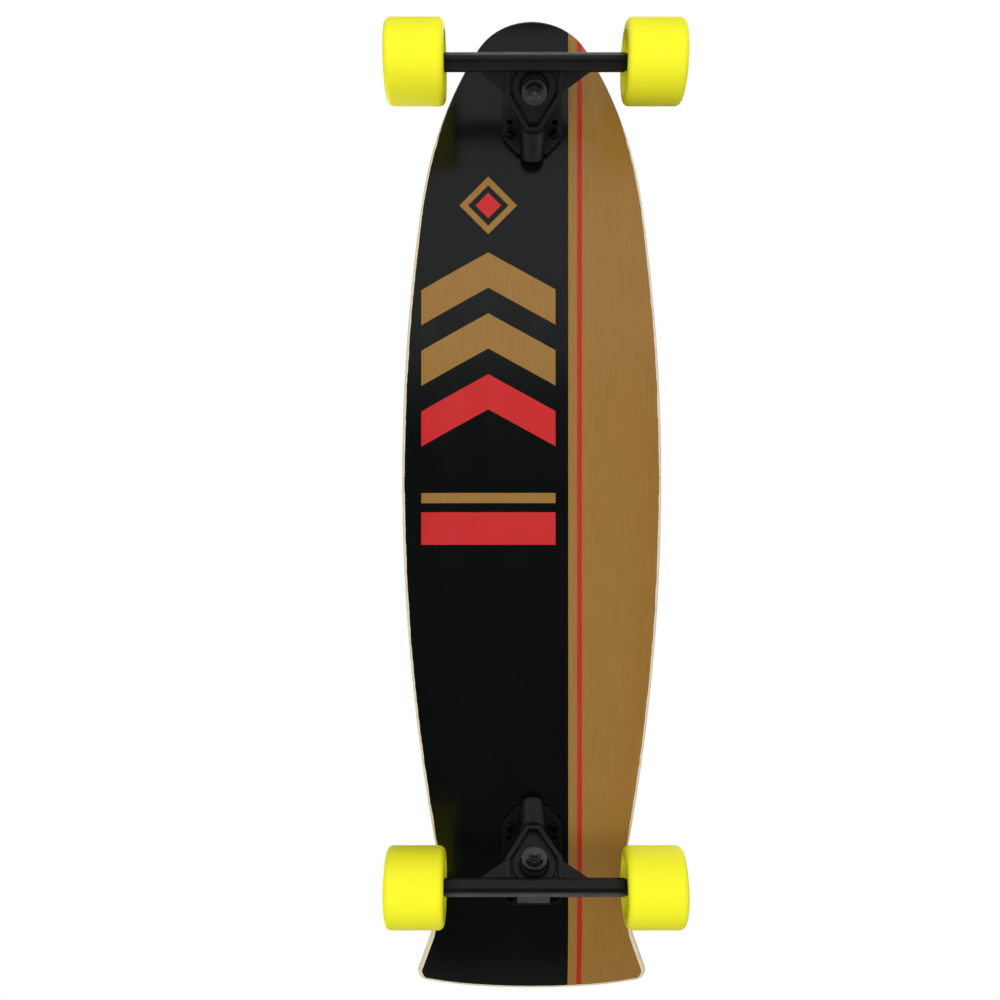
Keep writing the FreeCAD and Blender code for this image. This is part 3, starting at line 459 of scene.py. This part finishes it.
def bearing_look(end):
    # Steel ring with a dark shield between the rings
    look = Look(f"{end}_bearing_steel")
    shield = look.band(look.from_axle(end), *SHIELD)
    brushed = look.noise(600, 3)
    steel = look.mix(brushed, paint(186, 186, 184), paint(150, 150, 149))
    rubber = look.mix(brushed, paint(30, 31, 34), paint(44, 45, 48))
    look.give("Base Color", look.mix(shield, steel, rubber))
    look.give("Metallic", look.math("SUBTRACT", 1.0, shield))
    steel_rough, rubber_rough = look.uneven(brushed, 0.22, 0.34), look.uneven(brushed, 0.4, 0.55)
    look.give("Roughness", look.mix(shield, steel_rough, rubber_rough))
    look.bump(brushed, depth=0.00003, edge=0.0004)
    return look.material


# Urethane and plastic

def urethane_look(end):
    # Ground riding surface, smoother moulded sides
    look = Look(
        f"{end}_yellow_urethane",
        Subsurface_Weight=0.06, Subsurface_Scale=0.006, Subsurface_Radius=(1.0, 0.8, 0.15),
        Specular_IOR_Level=0.2,
    )
    tread = look.above(look.from_axle(end), middle(f"{end}_axle").z - TREAD_DEPTH)
    specks = look.spread(look.noise(700, 2), 0.7, 0.78)
    base = look.mix(look.noise(30, 3), paint(255, 253, 50), paint(255, 248, 36))
    look.give("Base Color", look.mix(look.both(specks, 0.35), base, paint(168, 150, 40)))
    cloud = look.noise(60, 4)
    look.give("Roughness", look.mix(tread, look.uneven(cloud, 0.45, 0.58), look.uneven(cloud, 0.55, 0.7)))
    ground = look.noise(900, 2, stretch=(0.15, 2.0, 0.15))
    look.bump(look.mix(tread, look.noise(350, 3), ground), depth=0.00006)
    return look.material


def plastic_look(name, light, dark, roughness):
    look = Look(name)
    look.give("Base Color", look.mix(look.noise(40, 3), light, dark))
    look.give("Roughness", look.uneven(look.noise(150, 4), *roughness))
    look.bump(look.noise(900, 2), depth=0.00004)
    return look.material


# Which finish each node has

ZINC = {"light": paint(178, 178, 176), "dark": paint(140, 140, 139), "roughness": (0.25, 0.4)}
DARK = {"light": paint(58, 59, 61), "dark": paint(38, 39, 41), "roughness": (0.35, 0.5)}
GREY = {"light": paint(92, 94, 96), "dark": paint(64, 66, 68), "roughness": (0.3, 0.45)}
BLACK_URETHANE = {"light": paint(22, 22, 23), "dark": paint(34, 34, 34), "roughness": (0.35, 0.5)}
BLACK_NYLON = {"light": paint(28, 28, 29), "dark": paint(38, 38, 38), "roughness": (0.45, 0.6)}
WHITE_NYLON = {"light": paint(232, 230, 222), "dark": paint(216, 213, 204), "roughness": (0.3, 0.45)}
LOOKS = {
    "deck": deck_look(),
    "grip_tape": grip_look(),
    "cast": cast_look(),
    "zinc": steel_look("zinc_steel", **ZINC),
    "dark": steel_look("black_oxide_steel", **DARK),
    "bolts": bolt_look(),
    "grey": steel_look("black_zinc_steel", **GREY),
    "axle": steel_look("threaded_axle_steel", **ZINC, edge=0.0),
    "kingpin": steel_look("threaded_kingpin_steel", **GREY, edge=0.0),
    "bushing": plastic_look("black_urethane", **BLACK_URETHANE),
    "liner": plastic_look("black_nylon", **BLACK_NYLON),
    "core": plastic_look("white_nylon", **WHITE_NYLON),
}
FINISHES = {
    "deck": "deck", "grip_tape": "grip_tape", "deck_bolts": "bolts", "deck_nuts": "dark", "baseplate": "cast",
    "hanger": "cast", "kingpin_nut": "grey", "board_bushing": "bushing", "road_bushing": "bushing",
    "board_washer": "grey", "road_washer": "grey", "pivot_cup": "liner", "kingpin": "kingpin", "axle": "axle",
    "core": "core", "bearing_inner_rings": "zinc", "speed_washers": "zinc", "spacer": "zinc",
    "axle_nut": "zinc",
}
OWN_LOOKS = {}
for end in ENDS:
    urethane, bearing = urethane_look(end), bearing_look(end)
    for hand in HANDS:
        OWN_LOOKS[f"{end}_{hand}_tyre"] = urethane
        OWN_LOOKS[f"{end}_{hand}_bearing_outer_rings"] = bearing


def finish_of(node):
    if node in OWN_LOOKS:
        return OWN_LOOKS[node]
    plain = node
    for prefix in WHEELS + list(ENDS):
        plain = plain.removeprefix(prefix + "_")
    return LOOKS[FINISHES[plain]]


for name, piece in nodes.items():
    piece.data.materials.clear()
    piece.data.materials.append(finish_of(name))


# Round pieces: rings of points about an axis, joined into one skin

def ring(radii, height):
    points = []
    for step, radius in enumerate(radii):
        angle = 2 * math.pi * step / len(radii)
        points.append((radius * math.cos(angle), radius * math.sin(angle), height))
    return points


def standing(foot, axis):
    return Matrix.Translation(foot) @ axis.to_track_quat("Z", "Y").to_matrix().to_4x4()


def skin(name, rings, place, hollow):
    # A hollow piece joins its last ring to its first, a solid one has flat ends
    mesh = bmesh.new()
    rows = [[mesh.verts.new(point) for point in points] for points in rings]
    pairs = list(zip(rows, rows[1:]))
    if hollow:
        pairs.append((rows[-1], rows[0]))
    for lower, upper in pairs:
        for step in range(len(lower)):
            after = (step + 1) % len(lower)
            face = mesh.faces.new((lower[step], lower[after], upper[after], upper[step]))
            face.smooth = True
    if not hollow:
        mesh.faces.new(rows[0])
        mesh.faces.new(rows[-1])
    bmesh.ops.recalc_face_normals(mesh, faces=mesh.faces)
    data = bpy.data.meshes.new(name)
    mesh.to_mesh(data)
    mesh.free()
    data.transform(place)
    piece = bpy.data.objects.new(name, data)
    scene.collection.objects.link(piece)
    return piece


def kingpin_way(end):
    return (middle(f"{end}_board_washer") - middle(f"{end}_road_washer")).normalized()


# Bushings: moulded urethane between the deck's washers and the hanger's ring

def bushing_profile(height, base, waist, top):
    # A closed section from the bore outwards, with rounded rims
    turns = [math.pi / 2 * step / RIM_STEPS for step in range(RIM_STEPS + 1)]
    points = [(BUSHING_BORE, 0.0)]
    for turn in turns:
        points.append((base - BUSHING_RIM * (1 - math.sin(turn)), BUSHING_RIM * (1 - math.cos(turn))))
    for step in range(1, SIDE_STEPS):
        share = step / SIDE_STEPS
        radius = base + (top - base) * share - waist * math.sin(math.pi * share)
        points.append((radius, BUSHING_RIM + (height - 2 * BUSHING_RIM) * share))
    for turn in turns:
        points.append((top - BUSHING_RIM * (1 - math.cos(turn)), height - BUSHING_RIM * (1 - math.sin(turn))))
    points.append((BUSHING_BORE, height))
    return points


def make_bushing(end, kind, start, height, base, waist, top):
    axis = kingpin_way(end)
    foot = middle(f"{end}_board_washer") + axis * start
    profile = bushing_profile(height, base, waist, top)
    rings = [ring([radius] * BUSHING_SEGMENTS, level) for radius, level in profile]
    piece = skin(f"{end}_{kind}_bushing_moulded", rings, standing(foot, axis), hollow=True)
    piece.data.materials.append(LOOKS["bushing"])
    washer_side, ring_side = foot, foot + axis * height
    if kind == "board":
        washer_side, ring_side = ring_side, washer_side
    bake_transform(piece)
    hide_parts(f"{end}_{kind}_bushing")


for end in ENDS:
    for kind, shape in BUSHINGS.items():
        make_bushing(end, kind, **shape)


# Kingpins and axles: round bars with a thread cut into each end that takes a nut

def span_along(node, point, axis):
    steps = [(vertex.co - point).dot(axis) for vertex in nodes[node].data.vertices]
    return min(steps), max(steps)


def threaded_bar(name, foot, tip, radius, chamfers, threads, pitch):
    # Chamfers and lengths of thread are given from the foot and from the tip
    length = (tip - foot).length

    def reach(height, turn):
        # Radius at a height and a share of a turn, chamfered and cut by the thread
        crest, depth = radius, 0.0
        for away, chamfer, thread in zip((height, length - height), chamfers, threads):
            crest = min(crest, radius - chamfer + away)
            depth = max(depth, min(thread - away, pitch) * THREAD_DEPTH_PER_PITCH)
        groove = abs(2 * ((height / pitch - turn) % 1.0) - 1)
        return min(crest, radius - depth * groove)

    heights = {0.0, chamfers[0], length - chamfers[1], length}
    step = pitch / RINGS_PER_PITCH
    heights.update(step * count for count in range(math.ceil(threads[0] / step)))
    heights.update(length - step * count for count in range(math.ceil(threads[1] / step)))
    turns = [count / BAR_SEGMENTS for count in range(BAR_SEGMENTS)]
    rings = [ring([reach(height, turn) for turn in turns], height) for height in sorted(heights)]
    return skin(name, rings, standing(foot, tip - foot), hollow=False)


def make_bar(node, body, point, axis, shape):
    low, high = span_along(node, point, axis)
    piece = threaded_bar(f"{node}_threaded", point + axis * low, point + axis * high, **shape)
    piece.data.materials.append(finish_of(node))
    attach(piece, body)
    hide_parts(node)


for end in ENDS:
    make_bar(f"{end}_kingpin", "deck", middle(f"{end}_board_washer"), kingpin_way(end), KINGPIN_BAR)
    make_bar(f"{end}_axle", f"{end}_hanger", middle(f"{end}_axle"), Vector((0, 1, 0)), AXLE_BAR)


# Stage: a pale floor that only shows from above, soft lamps above and below, a white surround

def floor_look():
    # Clear from below, to the lamps below and to the first bounce, and fading to white away from the board
    look = Look("pale_floor", Roughness=0.9, Specular_IOR_Level=0.2)
    look.give("Base Color", look.mix(look.noise(6, 4), paint(240, 240, 239), paint(235, 235, 234)))
    path = look.node("LightPath").outputs
    behind = look.node("NewGeometry").outputs["Backfacing"]
    first_light = look.both(path["Is Shadow Ray"], look.below(path["Diffuse Depth"], 0.5))
    first_bounce = look.both(path["Is Diffuse Ray"], look.below(path["Diffuse Depth"], 1.5))
    clear = look.either(behind, look.either(first_light, look.either(path["Is Glossy Ray"], first_bounce)))
    reach = look.distance(look.x, look.y)
    fade = look.both(look.spread(reach, *FLOOR_FADE), path["Is Camera Ray"])
    shown = look.join(fade, look.shader.outputs[0], look.node("Emission").outputs[0])
    surface = look.join(clear, shown, look.node("BsdfTransparent").outputs[0])
    look.plug(look.tree.nodes["Material Output"].inputs["Surface"], surface)
    return look.material


def make_floor(reach):
    data = bpy.data.meshes.new("floor")
    corners = [(-reach, -reach, 0), (reach, -reach, 0), (reach, reach, 0), (-reach, reach, 0)]
    data.from_pydata(corners, [], [(0, 1, 2, 3)])
    data.materials.append(floor_look())
    floor = bpy.data.objects.new("floor", data)
    scene.collection.objects.link(floor)


def soft_lamp(name, spot, size, watts, reflected=True):
    data = bpy.data.lights.new(name, "AREA")
    data.shape = "RECTANGLE"
    data.size, data.size_y = size
    data.energy = watts
    lamp = bpy.data.objects.new(name, data)
    lamp.location = spot
    lamp.rotation_mode = "QUATERNION"
    lamp.rotation_quaternion = (-Vector(spot)).to_track_quat("-Z", "Y")
    lamp.visible_glossy = reflected
    scene.collection.objects.link(lamp)


def make_world(ambient):
    # White where it is seen or mirrored, darker towards the ground, and an even dim light otherwise
    world = bpy.data.worlds.new("surround")
    world.use_nodes = True
    graph = Graph(world.node_tree)
    path = graph.node("LightPath").outputs
    mirrored = graph.either(path["Is Glossy Ray"], path["Is Transmission Ray"])
    seen = graph.either(path["Is Camera Ray"], mirrored)
    upward = graph.split(graph.node("TexCoord").outputs["Generated"])[2]
    white = graph.spread(upward, *GROUND_FADE, GROUND_LEVEL, 1.0)
    background = world.node_tree.nodes["Background"].inputs
    graph.plug(background["Strength"], graph.spread(seen, 0.0, 1.0, ambient, white))
    graph.plug(background["Color"], (1.0, 1.0, 1.0, 1.0))
    scene.world = world


def make_camera():
    # Under the board, looking straight up with the nose at the top of the picture
    data = bpy.data.cameras.new("camera")
    data.sensor_width = SENSOR
    data.lens = LENS
    data.shift_y = (PICTURE_X - CAMERA_X) / CAMERA_DROP * LENS / SENSOR
    camera = bpy.data.objects.new("camera", data)
    look_up = Matrix(((0, 1, 0), (1, 0, 0), (0, 0, -1))).transposed().to_4x4()
    camera.matrix_world = Matrix.Translation((CAMERA_X, CAMERA_Y, DECK_LOW.z - CAMERA_DROP)) @ look_up
    scene.collection.objects.link(camera)
    scene.camera = camera


make_floor(FLOOR_REACH)
soft_lamp("key_above", spot=(-0.9, -1.3, 1.9), size=(1.8, 1.8), watts=40)
soft_lamp("fill_above", spot=(1.4, 1.0, 1.6), size=(1.8, 1.8), watts=25)
soft_lamp("nose_below", spot=(0.95, 0.0, -1.3), size=(2.4, 1.2), watts=8)
soft_lamp("fill_below", spot=(-0.2, -0.1, -2.0), size=(1.6, 1.6), watts=28, reflected=False)
make_world(AMBIENT)
make_camera()
